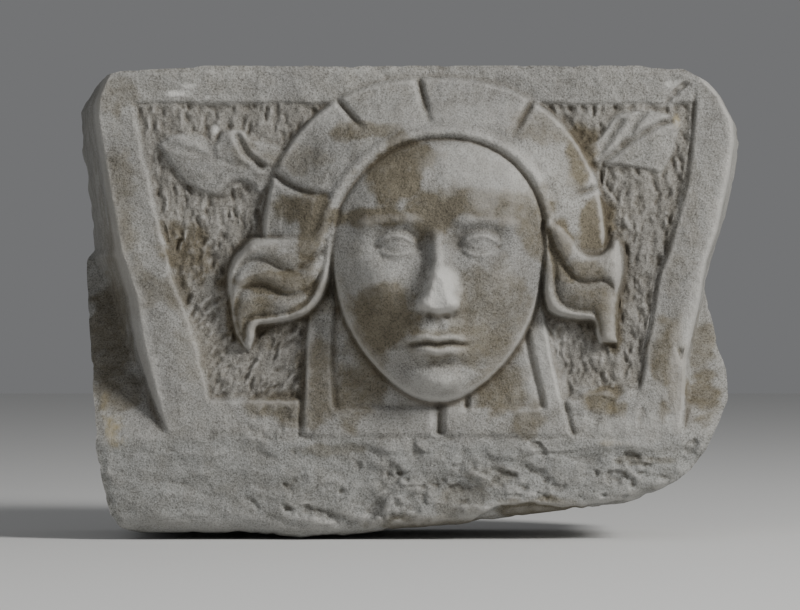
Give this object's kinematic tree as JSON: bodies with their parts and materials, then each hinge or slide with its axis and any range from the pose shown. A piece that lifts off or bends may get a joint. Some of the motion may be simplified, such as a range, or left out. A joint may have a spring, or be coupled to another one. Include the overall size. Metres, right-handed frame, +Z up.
{
  "type": "carved stone console",
  "caption": "Stone corbel block with a tapering bordered panel, carved with a hooded head, hair locks, collar and leaves over a rough bed.",
  "frame": {"origin": "on the flat back bed, at the middle of the block's width and height", "axes": "+X along the width, to the right as seen from the front; +Y out of the back bed, so the carved front looks toward -Y; +Z up"},
  "size_m": [0.4402, 0.2068, 0.3037],
  "materials": {
    "marble": "matt, weathered"
  },
  "bodies": {
    "root": {"console": "marble"}
  },
  "joints": []
}
